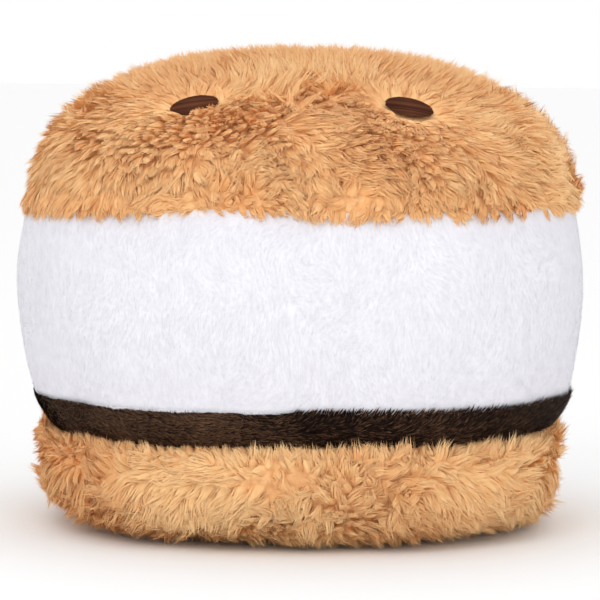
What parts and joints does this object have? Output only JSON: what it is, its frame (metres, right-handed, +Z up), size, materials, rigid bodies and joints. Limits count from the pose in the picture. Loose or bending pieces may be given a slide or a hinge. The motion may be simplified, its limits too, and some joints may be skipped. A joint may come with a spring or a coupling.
{
  "type": "plush smore toy",
  "caption": "Stuffed plush toy of a layered dessert: fluffy tan crackers above and below a white marshmallow band and a dark chocolate band, with stitched round dots sunk in its top",
  "frame": {"origin": "centre of the flat resting spot on the underside, at the middle of the toy's outline", "axes": "+Z is up, through the stack of layers; -Y is the front, towards the pair of stitched dots that shows; +X is to the right seen from the front"},
  "size_m": [0.192, 0.1902, 0.161],
  "materials": {
    "tan_fur": "long-pile faux fur in clumped locks, light tan tips over darker roots",
    "white_nap": "short-pile white plush, softly brushed",
    "brown_nap": "short-pile dark brown plush, brushed sideways",
    "brown_thread": "satin-stitched embroidery thread"
  },
  "bodies": {
    "root": {"cracker_bottom": "tan_fur", "chocolate": "brown_nap", "marshmallow": "white_nap", "cracker_top": "tan_fur", "docking_hole_front_left": "brown_thread", "docking_hole_front_right": "brown_thread", "docking_hole_back_left": "brown_thread", "docking_hole_back_right": "brown_thread"}
  },
  "joints": []
}
